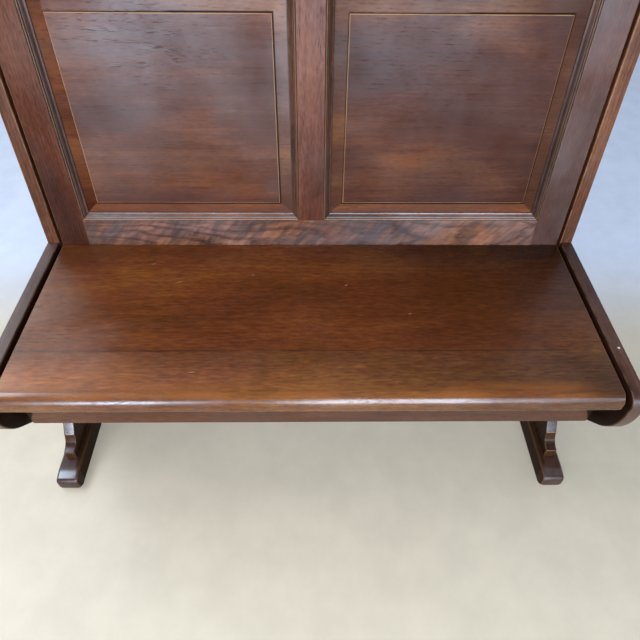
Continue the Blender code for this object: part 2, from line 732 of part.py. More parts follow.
def main():
    """Clear the scene and build the bench."""
    for thing in list(bpy.data.objects):
        bpy.data.objects.remove(thing, do_unlink=True)
    bench = empty('bench', None, (0.0, BACK_LINE, 0.0), 0.0)
    back = empty('back', bench, (0.0, 0.0, END_TOP), -RECLINE)
    for side, sign in (('left', -1), ('right', 1)):
        make_end(side, sign, bench)
    make_seat(bench)
    make_back(back)


main()
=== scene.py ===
"""Finishes of a panelled oak hall bench: stained oak, screws, floor, lamps and camera.

Laid out as an add-on and run as a script. Sizes are in metres in the frame of the solids:
+X along the bench, +Y from the front to the back, +Z up from the floor.
"""

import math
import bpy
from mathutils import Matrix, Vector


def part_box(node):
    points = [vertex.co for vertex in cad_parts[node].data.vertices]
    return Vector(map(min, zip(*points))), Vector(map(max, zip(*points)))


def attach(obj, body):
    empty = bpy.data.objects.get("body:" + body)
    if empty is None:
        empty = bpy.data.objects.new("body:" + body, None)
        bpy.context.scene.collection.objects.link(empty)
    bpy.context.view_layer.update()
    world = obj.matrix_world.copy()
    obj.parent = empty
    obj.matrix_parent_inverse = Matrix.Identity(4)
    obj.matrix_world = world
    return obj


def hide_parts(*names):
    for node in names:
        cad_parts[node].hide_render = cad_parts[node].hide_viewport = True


bl_info = {
    "name": "Panelled Oak Bench",
    "version": (1, 0, 0),
    "blender": (4, 5, 0),
    "location": "3D View > Sidebar > Bench",
    "description": "Dresses the solids of a panelled oak bench and sets its stage",
    "category": "Object",
}

from dataclasses import dataclass, replace
from functools import partial

import bmesh
import bpy
from bpy.props import FloatProperty, FloatVectorProperty, IntProperty, PointerProperty
from bpy.types import Operator, Panel, PropertyGroup
from mathutils import Euler, Matrix, Vector, noise

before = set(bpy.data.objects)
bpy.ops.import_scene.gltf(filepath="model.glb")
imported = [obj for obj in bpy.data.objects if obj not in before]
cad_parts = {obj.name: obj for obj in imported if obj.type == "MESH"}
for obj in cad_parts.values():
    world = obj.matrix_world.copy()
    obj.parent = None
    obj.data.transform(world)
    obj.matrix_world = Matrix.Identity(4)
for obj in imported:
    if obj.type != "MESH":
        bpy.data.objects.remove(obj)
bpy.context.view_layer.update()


def lean_of(node):
    """Lean from the upright of a solid's broad front face."""
    faces = [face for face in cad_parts[node].data.polygons if face.normal.y < -0.5]
    broad = max(faces, key=lambda face: face.area)
    return math.atan2(broad.normal.z, -broad.normal.y)


RECLINE = lean_of("left_panel")
SLOPE = Matrix.Rotation(-RECLINE, 3, 'X')
LEVEL = SLOPE.inverted()

# Turn of the back in node trees
BACK_TURN = (-RECLINE, 0.0, 0.0)

# Ways in which the grain of a board can run, as turns of a log that lies along X
ALONG = (0.0, 0.0, 0.0)
DEEP = (0.0, 0.0, math.pi / 2)
UPRIGHT = (0.0, -math.pi / 2, 0.0)


# Settings

def setting(kind, **limits):
    """A maker of settings of one kind, each from its name, what it is about and its default."""
    def make(name, about, default):
        return kind(name=name, description=about, default=default, **limits)

    return make


colour = setting(FloatVectorProperty, size=3, min=0.0, max=1.0, subtype='COLOR')
position = setting(FloatVectorProperty, size=3, subtype='TRANSLATION')
length = setting(FloatProperty, min=0.0, precision=5, unit='LENGTH')
focal_length = setting(FloatProperty, min=1.0, unit='CAMERA')
strength = setting(FloatProperty, min=0.0)
angle = setting(FloatProperty, subtype='ANGLE')
row_count = setting(IntProperty, min=3)


class BenchStain(PropertyGroup):
    """Colours of the stained oak."""
    seat_deep: colour("Seat, deep", "Dark figure of the seat", (0.030, 0.0095, 0.0045))
    seat_body: colour("Seat, body", "Usual colour of the seat", (0.120, 0.0322, 0.0096))
    seat_glow: colour("Seat, glow", "Orange figure of the seat", (0.240, 0.082, 0.018))
    frame_deep: colour("Frame, deep", "Dark figure of the back frame", (0.024, 0.0080, 0.0050))
    frame_body: colour("Frame, body", "Usual colour of the back frame", (0.092, 0.028, 0.0150))
    frame_glow: colour("Frame, glow", "Pale figure of the back frame", (0.190, 0.078, 0.046))
    moulding_body: colour("Moulding, body", "Usual colour of the mouldings", (0.064, 0.027, 0.020))
    panel_deep: colour("Panel, deep", "Dark figure of the panels", (0.040, 0.013, 0.0085))
    panel_body: colour("Panel, body", "Usual colour of the panels", (0.076, 0.025, 0.0140))
    panel_glow: colour("Panel, glow", "Orange figure of the panels", (0.165, 0.064, 0.028))
    post_deep: colour("Post, deep", "Dark figure of the posts", (0.040, 0.015, 0.0080))
    post_body: colour("Post, body", "Usual colour of the posts", (0.112, 0.042, 0.0205))
    post_glow: colour("Post, glow", "Pale figure of the posts", (0.230, 0.104, 0.054))
    rail_deep: colour("Rail, deep", "Dark figure of the rails", (0.034, 0.0150, 0.0120))
    rail_body: colour("Rail, body", "Usual colour of the rails", (0.084, 0.038, 0.0290))
    rail_glow: colour("Rail, glow", "Pale figure of the rails", (0.215, 0.112, 0.088))
    end_deep: colour("End, deep", "Dark figure of the ends and feet", (0.013, 0.0055, 0.0040))
    end_body: colour("End, body", "Usual colour of the ends and feet", (0.053, 0.0195, 0.0128))
    end_glow: colour("End, glow", "Pale figure of the ends and feet", (0.100, 0.050, 0.036))
    worn: colour("Worn edge", "Bare oak at the worn edges", (0.330, 0.190, 0.095))
    scuff: colour("Scuff", "Pale specks and scuffs on the seat", (0.50, 0.38, 0.28))
    chip: colour("Chip", "Pale chip in the right end board", (0.70, 0.64, 0.58))
    # Old wax and painted shade: the near-black put in the inner corners of the panels and mouldings
    wax: colour("Old wax", "Dark wax and dust in the corners", (0.0090, 0.0052, 0.0042))
    # Painted shade: the dark red-brown put under the seat on the end boards and at the ends of the apron
    grime: colour("Grime", "Dark red-brown dirt where no cloth reaches", (0.0105, 0.0042, 0.0026))
    # Painted shade: the dark brown put on the sides of the legs and feet that face the other end, and
    # beside the legs
    under: colour("Under side", "Dry brown stain on the inner sides of the legs", (0.0260, 0.0118, 0.0058))
    dry: colour("Dry stain", "Dry brown stain where the legs have no polish", (0.052, 0.0230, 0.0100))
    pore: colour("Pore", "Stain left in the pores", (0.012, 0.0050, 0.0030))
    bare: colour("Bare wood", "Dowels inside the joints", (0.360, 0.225, 0.118))


class BenchGrain(PropertyGroup):
    """Sizes of the oak's figure and of its wear."""
    ring: length("Ring", "Width of a year ring", 0.0052)
    warp: length("Warp", "How far the rings wander", 0.011)
    arris: length("Arris", "Width of the wear on a sharp edge", 0.0009)
    # The quirk is also the width of the dark line of old wax and painted shade in an inner corner
    quirk: length("Quirk", "Width of the old wax in a corner", 0.0020)
    nosing_wander: length("Nosing wander", "How far the worn nosing departs from its profile", 0.0003)


class BenchScrews(PropertyGroup):
    """Slotted screws that hold the bearers, the ledger and the cleats."""
    head_radius: length("Head radius", "Radius of a screw head", 0.0042)
    head_rise: length("Head rise", "How far a head stands out of the wood", 0.0005)
    head_depth: length("Head depth", "Thickness of a head", 0.0016)
    slot_width: length("Slot width", "Width of the slot", 0.0009)
    slot_depth: length("Slot depth", "Depth of the slot", 0.0008)
    count: row_count("Screws in a row", "Screws in each row", 4)
    iron: colour("Iron", "Dull iron of the screws", (0.105, 0.095, 0.085))
    rust: colour("Rust", "Brown bloom on the iron", (0.060, 0.030, 0.016))


class BenchStage(PropertyGroup):
    """Floor, lamps and camera."""
    floor: colour("Floor", "Pale floor", (0.622, 0.576, 0.458))
    distance: colour("Distance", "Floor behind the bench", (0.700, 0.800, 0.970))
    air_left: colour("Air, left", "Light from the left", (0.760, 0.850, 1.000))
    air_right: colour("Air, right", "Light from the right", (0.350, 0.400, 0.480))
    air_above: colour("Air, above", "Light from above", (0.260, 0.275, 0.300))
    pane_glow: strength("Panes", "Brightness of the window panes that show in the polish", 17.0)
    pane_tint: colour("Pane tint", "Colour of the sky in the window panes", (0.66, 0.81, 1.0))
    front_power: strength("Front light", "Power of the light in front, in watts", 100.0)
    side_power: strength("Side light", "Power of the high soft light at the left, in watts", 37.0)
    lamp_power: strength("Left lamp", "Power of the near lamp at the left, in watts", 24.0)
    wall_power: strength("Left wall", "Power of the wall that shows in the left end, in watts", 11.0)
    fill_power: strength("Front fill", "Power of the soft light in front, in watts", 38.0)
    key_power: strength("Key", "Power of the soft light above the left end, in watts", 10.0)
    lens: focal_length("Lens", "Focal length on a 36 mm sensor", 31.30)
    camera: position("Camera", "Place of the camera", (0.0015, -0.7969, 1.2178))
    pitch: angle("Pitch", "How far the camera looks down", math.radians(47.163))
    yaw: angle("Yaw", "How far the camera looks to the right", math.radians(1.183))
    roll: angle("Roll", "Turn of the camera about its view", math.radians(0.775))


class BenchLooks(PropertyGroup):
    """All the settings of the bench."""
    stain: PointerProperty(type=BenchStain)
    grain: PointerProperty(type=BenchGrain)
    screws: PointerProperty(type=BenchScrews)
    stage: PointerProperty(type=BenchStage)


def looks():
    """The settings in use."""
    return bpy.context.scene.bench


def put(name, data):
    """Put a new object into the scene."""
    thing = bpy.data.objects.new(name, data)
    bpy.context.scene.collection.objects.link(thing)
    return thing


# Node trees

class Value:
    """An outcome of a node. A sum with it adds a node to the same tree."""

    def __init__(self, socket):
        self.socket = socket

    def __add__(self, other):
        return calc('ADD', self, other)

    def __sub__(self, other):
        return calc('SUBTRACT', self, other)

    def __rsub__(self, other):
        return calc('SUBTRACT', other, self)

    def __mul__(self, other):
        return calc('MULTIPLY', self, other)

    def __truediv__(self, other):
        return calc('DIVIDE', self, other)

    def __abs__(self):
        return calc('ABSOLUTE', self)


def tree_of(*values):
    """The node tree that some values belong to, where plain values don't count."""
    return next(value.socket.id_data for value in values if isinstance(value, Value))


def feed(step, inputs):
    """Feed inputs of a node, each from an outcome or with a plain value."""
    for name, value in inputs.items():
        socket = step.inputs[name]
        if isinstance(value, Value):
            socket.id_data.links.new(value.socket, socket)
        elif socket.type == 'RGBA':
            socket.default_value = (*value, 1.0)
        else:
            socket.default_value = value


def new_node(kind, inputs, tree=None, **choices):
    """A new node with its choices and inputs, in the tree of its inputs unless another is given."""
    step = (tree or tree_of(*inputs.values())).nodes.new(kind)
    for name, choice in choices.items():
        setattr(step, name, choice)
    feed(step, inputs)
    return step


def add(kind, inputs, output=0, **choices):
    """One outcome of a new node."""
    return Value(new_node(kind, inputs, **choices).outputs[output])


def outcomes(step):
    """All the outcomes of a node, by name."""
    return {socket.name: Value(socket) for socket in step.outputs}


def calc(operation, *values, clamp=False):
    """Outcome of a sum on numbers."""
    return add('ShaderNodeMath', dict(enumerate(values)), operation=operation, use_clamp=clamp)


def larger(first, second):
    """The larger of two numbers."""
    return calc('MAXIMUM', first, second)


def vector_calc(operation, *values, output='Vector'):
    """Outcome of a sum on vectors."""
    return add('ShaderNodeVectorMath', dict(enumerate(values)), output, operation=operation)


def size_of(vector):
    """Length of a vector."""
    return vector_calc('LENGTH', vector, output='Value')


def scaled(vector, share):
    """A vector or colour times a number."""
    return add('ShaderNodeVectorMath', {0: vector, 'Scale': share}, operation='SCALE')


def axes(vector):
    """The three parts of a vector: X, Y and Z."""
    return [Value(socket) for socket in new_node('ShaderNodeSeparateXYZ', {'Vector': vector}).outputs]


def spread(value, low, high, to_low=0.0, to_high=1.0):
    """A number moved from one range to another, with soft ends."""
    inputs = dict(enumerate((value, low, high, to_low, to_high)))
    return add('ShaderNodeMapRange', inputs, interpolation_type='SMOOTHSTEP')


def mix(share, first, second, blend='MIX'):
    """Two colours mixed by a share."""
    tree = tree_of(share, first, second)
    step = new_node('ShaderNodeMix', {0: share}, tree, data_type='RGBA', blend_type=blend)
    start = [socket.type for socket in step.inputs].index('RGBA')
    feed(step, {start: first, start + 1: second})
    return Value(next(socket for socket in step.outputs if socket.type == 'RGBA'))


def cloud(place, along, across, seed, detail=2.0, roughness=0.5, output='Fac'):
    """Cloudy noise, with its fineness along the grain and across it."""
    inputs = {'Vector': vector_calc('MULTIPLY', place, (along, across, across)), 'W': seed, 'Scale': 1.0,
              'Detail': detail, 'Roughness': roughness}
    return add('ShaderNodeTexNoise', inputs, output, noise_dimensions='4D')


def place_in(here, location, rotation, scale=(1.0, 1.0, 1.0)):
    """Object coordinates seen from a frame with its own place, turn and scale."""
    inputs = {'Vector': here, 'Location': location, 'Rotation': rotation, 'Scale': scale}
    return add('ShaderNodeMapping', inputs, vector_type='TEXTURE')


def attribute(here, name):
    """Value of a mesh attribute, in the same tree as another value."""
    return add('ShaderNodeAttribute', {}, 'Fac', tree=tree_of(here), attribute_name=name)


def group_inputs(tree, kinds):
    """Give a node group its named inputs by kind of socket."""
    for kind, names in kinds.items():
        for name in names:
            tree.interface.new_socket(name, in_out='INPUT', socket_type=kind)
    return outcomes(tree.nodes.new('NodeGroupInput'))


def group_outputs(tree, kind, values):
    """Give a node group its named outputs, all of one kind of socket."""
    for name in values:
        tree.interface.new_socket(name, in_out='OUTPUT', socket_type=kind)
    feed(tree.nodes.new('NodeGroupOutput'), values)


def new_material(name):
    """A plain material, with its shader and its object coordinates."""
    material = bpy.data.materials.new(name)
    material.use_nodes = True
    tree = material.node_tree
    return material, tree.nodes['Principled BSDF'], add('ShaderNodeTexCoord', {}, 'Object', tree=tree)


# Oak

def bent(place, swirl, warp):
    """Places moved by the colours of a cloud."""
    bend = scaled(vector_calc('SUBTRACT', swirl, (0.5, 0.5, 0.5)), warp)
    return vector_calc('ADD', place, bend)


def year_rings(place, ring, warp, seed):
    """Wandering year rings: their tone, and how early in the year each place grew."""
    wandering = bent(place, cloud(place, 3.0, 13.0, seed, 3.0, 0.55, 'Color'), warp)
    turns = size_of(vector_calc('MULTIPLY', wandering, (0.0, 1.0, 1.0))) / ring
    part = calc('FRACT', turns)
    early = 1.0 - spread(part, 0.0, 0.45) * spread(part, 0.86, 1.0, 1.0, 0.0)
    year = add('ShaderNodeTexWhiteNoise', {'W': calc('FLOOR', turns)}, 'Value', noise_dimensions='1D')
    return 1.0 - early * (year * 0.6 + 0.4), early


def log_group():
    """Node group of an oak log along X: its rings, streaks, flecks, pores and blotches of stain."""
    known = bpy.data.node_groups.get("oak_log")
    if known:
        return known
    tree = bpy.data.node_groups.new("oak_log", 'ShaderNodeTree')
    kinds = {'NodeSocketVector': ("Place",), 'NodeSocketFloat': ("Ring", "Warp", "Seed")}
    given = group_inputs(tree, kinds)
    place, warp, seed = given["Place"], given["Warp"], given["Seed"]
    rings, early = year_rings(place, given["Ring"], warp, seed)
    swirl = cloud(place, 9.0, 22.0, seed + 23.0, 1.5, 0.5, 'Color')
    dashes = cloud(place, 80.0, 560.0, seed, 1.0)
    group_outputs(tree, 'NodeSocketFloat', {
        "Rings": rings,
        "Streaks": cloud(bent(place, swirl, warp), 6.0, 75.0, seed, 3.0, 0.6),
        "Flecks": cloud(place, 60.0, 240.0, seed, 2.5, 0.65),
        "Pores": spread(dashes, 0.54, 0.66) * (early * 0.7 + 0.3),
        "Blotches": cloud(place, 3.2, 8.0, seed, 1.5),
        "Warmth": cloud(place, 4.6, 12.0, seed + 41.0, 1.5),
    })
    return tree


@dataclass
class Finish:
    """One stain of the oak: its colours, the strength of its figure, its wear and its sheen."""
    deep: tuple
    body: tuple
    glow: tuple
    rings: float = 0.10
    streaks: float = 0.70
    flecks: float = 0.60
    blotches: float = 0.90
    warmth: float = 0.55
    tint: tuple = (1.30, 1.05, 0.66)
    pores: float = 0.50
    wear: float = 0.7
    patchy: float = 0.45
    roughness: float = 0.34
    shine: float = 0.40
    uneven: float = 0.45


@dataclass
class Grain:
    """How a board was cut: the way of its log, the pith as an offset from its middle, and a seed."""
    way: tuple
    pith: tuple
    seed: float
    tilt: tuple = (0.0, 0.0)
    lean: float = 0.0
    ring: float = 1.0
    warp: float = 1.0

    def turn(self):
        """Turn of the log in the frame of the bench."""
        lean = Matrix.Rotation(-self.lean, 3, 'X')
        slant = Euler((0.0, *self.tilt)).to_matrix()
        return (lean @ Euler(self.way).to_matrix() @ slant).to_euler()


def shades(name):
    """Dark, usual and pale colour of a stain, from the settings."""
    return [tuple(getattr(looks().stain, name + part)) for part in ("_deep", "_body", "_glow")]


def darker(finish, share):
    """The same stain with all its colours turned down."""
    return replace(finish, **{name: tuple(part * share for part in getattr(finish, name))
                              for name in ("deep", "body", "glow")})


def finishes():
    """Stains of the bench by name."""
    seat = Finish(*shades("seat"), rings=0.03, streaks=0.30, flecks=0.45, blotches=0.58, warmth=0.75,
                  tint=(1.10, 1.19, 0.82), wear=0.85, patchy=0.30, roughness=0.23, shine=0.47, uneven=0.25)
    back = Finish(*shades("frame"), streaks=0.30)
    panel = Finish(*shades("panel"), rings=0.04, streaks=0.50, flecks=0.35, blotches=1.3, wear=0.6,
                   patchy=0.30, roughness=0.30)
    post = Finish(*shades("post"), rings=0.14, shine=0.20)
    end = Finish(*shades("end"), wear=0.3, roughness=0.36, shine=0.60)
    rail = Finish(*shades("rail"), rings=0.30, streaks=0.60, flecks=0.40, blotches=1.3, warmth=0.9,
                  roughness=0.30, shine=0.28)
    leg = replace(darker(end, 0.70), wear=0.35, roughness=0.27, shine=0.65)
    moulding = replace(back, body=tuple(looks().stain.moulding_body), wear=0.30, patchy=0.35,
                       roughness=0.38, shine=0.58)
    stile = darker(back, 0.66)
    return {
        'seat': seat,
        'rail': rail,
        'under': replace(darker(post, 0.76), streaks=0.40, flecks=0.40, blotches=0.50, roughness=0.46,
                         wear=0.35),
        'left_post': replace(post, shine=0.10),
        'right_post': darker(post, 0.94),
        'end': end,
        'left_leg': leg,
        'right_leg': replace(leg, shine=0.50),
        'foot': replace(leg, wear=0.14, roughness=0.36, shine=0.95),
        'left_panel': replace(darker(panel, 0.88), shine=0.22),
        # The right panel is a darker copy of the panel stain: painted shade, as the light falls from the
        # left
        'right_panel': replace(darker(panel, 0.74), shine=0.11),
        'left_stile': replace(stile, shine=0.08),
        'right_stile': replace(stile, shine=0.38),
        'muntin': replace(back, shine=0.12),
        'moulding': moulding,
        # The upright mouldings are a darker copy of the moulding stain: painted shade on the side-facing
        # mouldings
        'upright_moulding': replace(darker(moulding, 0.68), wear=0.15, shine=0.16),
    }


def stained_figure(log, finish):
    """Colour of the stain over the figure of the wood."""
    tone = (log["Rings"] - 0.64) * finish.rings + 0.5
    for part in ("Streaks", "Flecks", "Blotches"):
        tone = (log[part] - 0.5) * getattr(finish, part.lower()) + tone
    ramp = new_node('ShaderNodeValToRGB', {'Fac': tone})
    stops = ramp.color_ramp.elements
    stops[0].position = 0.16
    stops[0].color = (*finish.deep, 1.0)
    stops[1].position = 0.84
    stops[1].color = (*finish.glow, 1.0)
    stops.new(0.5).color = (*finish.body, 1.0)
    warm = spread(log["Warmth"], 0.42, 0.68) * finish.warmth
    return mix(warm, Value(ramp.outputs['Color']), finish.tint, 'MULTIPLY')


def rubbed(here, name, amount, patchy, seed):
    """Share of wear, or of old wax and painted shade, from a mesh attribute, broken up into patches."""
    patches = spread(cloud(here, 38.0, 38.0, seed, 3.0, 0.6), patchy - 0.16, patchy + 0.16)
    return calc('MULTIPLY', attribute(here, name) * patches, amount, clamp=True)


def uneven_surface(here, log, finish, seed):
    """Normal of a board that was planed by hand and has open grain."""
    planed = add('ShaderNodeBump', {'Strength': finish.uneven, 'Distance': 0.0012,
                                    'Height': cloud(here, 12.0, 12.0, seed, 1.0, 0.4)})
    return add('ShaderNodeBump', {'Strength': 0.30, 'Distance': 0.0002, 'Normal': planed,
                                  'Height': log["Flecks"] - log["Pores"] * 0.8})


def oak(name, finish, grain, middle, marks=None):
    """Stained oak of one board, cut from its own log."""
    stain = looks().stain
    sizes = looks().grain
    material, shader, here = new_material(name)
    board = {"Place": place_in(here, middle + Vector(grain.pith), grain.turn()), "Seed": grain.seed,
             "Ring": sizes.ring * grain.ring, "Warp": sizes.warp * grain.warp}
    log = outcomes(new_node('ShaderNodeGroup', board, node_tree=log_group()))

    wood = mix(log["Pores"] * finish.pores, stained_figure(log, finish), stain.pore)
    smears = cloud(here, 8.0, 8.0, grain.seed, 3.0, 0.6)
    shine = spread(smears, 0.30, 0.70, finish.shine * 0.6, finish.shine * 1.4)
    if marks:
        wood, dull = marks(here, wood)
        shine = shine * (1.0 - dull)
    wear = rubbed(here, "wear", finish.wear, finish.patchy, grain.seed)
    # Old wax and painted shade in the inner corners
    wax = rubbed(here, "wax", 0.9, 0.28, grain.seed + 5.0)
    satin = log["Streaks"] * 0.14 + smears * 0.14 + log["Pores"] * 0.20 + (finish.roughness - 0.14)
    feed(shader, {'Base Color': mix(wax, mix(wear, wood, stain.worn), stain.wax),
                  'Specular IOR Level': shine,
                  'Roughness': satin + wax * 0.30,
                  'Normal': uneven_surface(here, log, finish, grain.seed)})
    return material


# Marks of use and painted shade: each step gives a colour and a share of dullness, which is below zero
# where wood shines more

# Distance from the front of the seat to the seam between its boards
SEAM = 0.109

# Middle and half width of a stretch of the nosing that has lost its polish
DULL_STRETCH = (-0.128, 0.055)

# Heights of the lip of a leg and of its upright base edge above the foot
LIP_RISE = 0.0515
EDGE_RISE = 0.0245

# Pale chip on the top of the right end board
CHIP = (0.5600, -0.1510, 0.4450)

# Warm figure of each field: share of the half width, height above the bottom edge, and reach
FLAMES = {"left": ((0.45, 0.050), (0.150, 0.065)), "right": ((-0.42, 0.120), (0.150, 0.070))}

# Tones of the panel margins against their fields: the bottom ones, the sides, and the foot and the upper
# part of the left panel's outer side
MARGINS = {"left": (2.15, 2.35, 2.05), "right": (2.45, 2.80, 2.70)}
SIDE_MARGIN = (1.25, 1.40, 1.25)
OUTER_FOOT = (0.72, 0.56, 0.40)
OUTER_TOP = (1.02, 0.95, 0.74)

# Depth of a panel's front side behind its field, and how far the field may be out of flat
FRONT_DEPTH = 0.008
FIELD_FLAT = 0.0003

# Scuffs on the seat: place, turn and reach, with one width and one depth for all
SCUFFS = (
    ((-0.268, 0.030), 0.30, 0.0110),
    ((-0.330, 0.085), 0.15, 0.0070),
    ((-0.120, 0.050), -0.20, 0.0050),
    ((0.070, 0.020), 0.55, 0.0060),
    ((0.190, -0.060), 0.10, 0.0055),
    ((-0.210, -0.200), 0.05, 0.0100),
)
SCUFF_WIDTH = 0.0011
SCUFF_DEPTH = 0.008


def specks(here, fineness, share, low, high, seed):
    """Scattered small round specks."""
    inputs = {'Vector': here, 'Scale': fineness, 'W': seed}
    cells = outcomes(new_node('ShaderNodeTexVoronoi', inputs, voronoi_dimensions='4D'))
    choice, size, _ = axes(cells['Color'])
    chosen = calc('LESS_THAN', choice, share)
    return calc('LESS_THAN', cells['Distance'], size * (high - low) + low) * chosen


def front_board(here, wood):
    """Short open grain, and the front board of the glued seat: paler, and brighter towards the left end in
    painted light, with a fine dark seam behind it.
    """
    x, y, _ = axes(here)
    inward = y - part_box("seat")[0].y
    behind = inward - SEAM
    grained = scaled(wood, spread(cloud(here, 40.0, 270.0, 4.0, 1.5), 0.36, 0.64, 0.86, 1.14))
    front_flat = spread(inward, 0.012, 0.034) * spread(behind, 0.010, -0.060)
    # Painted light: the front board grows brighter towards the left end
    pale = spread(x, 0.30, -0.50, -0.20, 1.15) * front_flat + 1.0
    front = scaled(vector_calc('MULTIPLY', grained, (0.98, 1.20, 1.52)), pale)
    boards = mix(spread(behind, 0.001, -0.001), grained, front)
    line = spread(abs(behind), 0.0026, 0.0006)
    open_part = spread(cloud(here, 6.0, 6.0, 9.0), 0.42, 0.56, 0.10, 0.60)
    return mix(line * open_part, boards, looks().stain.seat_deep)


def seat_marks(here, wood):
    """Painted shade towards the right end and the back, with a painted haze at the far right, a warm worn
    band along the nosing, and pale specks and scuffs.
    """
    stain = looks().stain
    low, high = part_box("seat")
    x, y, _ = axes(here)
    inward = y - low.y
    # Painted shade: darker towards the right end and the back, and darker still in a strip along the back
    rear = spread(y, low.y + 0.06, high.y - 0.03)
    last = spread(y, high.y - 0.09, high.y - 0.01, 0.0, 0.22)
    shade = spread(x, -0.10, 0.42) * (rear * 0.48 + 0.14) + last
    # Painted reflection: a cool grey haze over the far right of the seat
    dusky = mix(spread(x, 0.34, 0.52), wood, (0.86, 0.96, 1.22), 'MULTIPLY')
    shaded_seat = front_board(here, scaled(dusky, 1.0 - shade))
    band = spread(inward, 0.046, 0.022) * spread(inward, 0.003, 0.012)
    rub = spread(cloud(here, 9.0, 60.0, 6.0, 3.0, 0.6), 0.30, 0.62) * spread(x, 0.52, 0.44)
    warm = mix(band * rub * 0.75, shaded_seat, stain.seat_glow)
    pale = specks(here, 34.0, 0.26, 0.010, 0.034, 2.0) * 0.36
    for place, turn, reach in SCUFFS:
        near = place_in(here, (*place, high.z), (0.0, 0.0, turn), (reach, SCUFF_WIDTH, SCUFF_DEPTH))
        pale = larger(pale, spread(size_of(near), 1.0, 0.3, 0.0, 0.5))
    middle, half = DULL_STRETCH
    dull = spread(abs(x - middle), half, 0.0, 0.0, 0.45) * spread(inward, 0.030, 0.018)
    return mix(pale, warm, stain.scuff), larger(pale, dull)


def end_shade(here, wood):
    """Painted shade on the inner face of an end board, darkest below the seat, and the pale chip."""
    stain = looks().stain
    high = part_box("seat")[1]
    x, _, z = axes(here)
    # Painted shade on the inner face of the end board, deepest under the seat
    hidden = calc('LESS_THAN', abs(x), high.x + 0.009)
    share = hidden * spread(z, high.z + 0.004, high.z - 0.022, 0.70, 0.92)
    off_chip = vector_calc('DISTANCE', here, CHIP, output='Value')
    return mix(spread(off_chip, 0.0030, 0.0015), mix(share, wood, stain.grime), stain.chip), share


def inner_side(node):
    """Distance from the middle of the bench to the inner side of a piece."""
    return min(abs(corner.x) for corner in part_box(node))


def inner_shade(node, here, wood):
    """Painted shade, dark and dull, on the side of a leg or foot that faces the other end."""
    share = spread(abs(axes(here)[0]) - inner_side(node), 0.0030, 0.0006, 0.0, 0.95)
    return mix(share, wood, looks().stain.under), share


def foot_marks(side, here, wood):
    """Painted shade on the inner side of a foot and on its top beside the leg, and a toe that is
    polished only on its brow.
    """
    leg_side = inner_side(side + "_leg")
    x, y, _ = axes(here)
    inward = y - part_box(side + "_foot")[0].y
    inside = spread(abs(x), leg_side + 0.001, leg_side - 0.003)
    # Painted shade on the top of the foot beside the leg
    beside = inside * spread(inward, 0.026, 0.042, 0.0, 0.8)
    coloured, dull = inner_shade(side + "_foot", here, mix(beside, wood, looks().stain.under))
    brow = spread(inward, 0.006, 0.010) * spread(inward, 0.030, 0.020)
    polish = (1.0 - larger(dull, beside)) * (brow * 1.3 + 0.4)
    return coloured, 1.0 - polish


def leg_marks(side, here, wood):
    """Painted shade on the inner side of a leg, a dry hollow below the pale lip and a dry edge at
    the base.
    """
    stain = looks().stain
    rise = axes(here)[2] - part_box(side + "_foot")[1].z
    sawn = attribute(here, "sawn")
    hollow = spread(rise, LIP_RISE, LIP_RISE - 0.001) * spread(rise, LIP_RISE - 0.020, LIP_RISE - 0.015)
    edge = spread(rise, EDGE_RISE, EDGE_RISE - 0.003)
    dry = larger(hollow, edge) * sawn
    lip = spread(abs(rise - LIP_RISE), 0.0016, 0.0006, 0.0, 0.35) * sawn
    worn = mix(lip, mix(dry, wood, stain.dry), stain.worn)
    coloured, dull = inner_shade(side + "_leg", here, worn)
    cove = spread(rise, LIP_RISE, LIP_RISE - 0.001, 0.0, 0.62) * sawn
    return coloured, larger(larger(dull, cove), dry * 0.92)


def apron_end_shadows(here, wood):
    """Painted shadow cast by the end boards on the ends of the apron, widening up to the seat."""
    low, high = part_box("front_apron")
    x, _, z = axes(here)
    # Painted shadow of each end board's nose, wide at the top and narrow below
    reach = spread(z, low.z + 0.006, low.z + 0.060, 0.001, 0.020)
    corner = spread((high.x - abs(x)) / reach, 1.15, 0.80, 0.0, 0.85)
    return mix(corner, wood, looks().stain.grime), corner


def ray_figure(here, wood):
    """Slanting silver figure of a quartered rail: fine rays, and dusky patches, boldest at the left."""
    slanted = place_in(here, (0.0, 0.0, 0.0), (-RECLINE, -0.85, 0.0))
    patches = spread(cloud(slanted, 12.0, 46.0, 5.0, 1.5), 0.36, 0.64, -1.0, 1.0)
    rays = spread(cloud(slanted, 24.0, 120.0, 3.0, 1.5, 0.55), 0.36, 0.64, -0.2, 0.2)
    x = axes(here)[0]
    figure = patches * spread(x, 0.30, -0.15, 0.18, 0.34) + rays
    level = spread(x, -0.25, 0.10, 0.88, 0.82)
    return scaled(wood, figure + level), spread(patches, 0.2, -0.8, 0.0, -0.6)


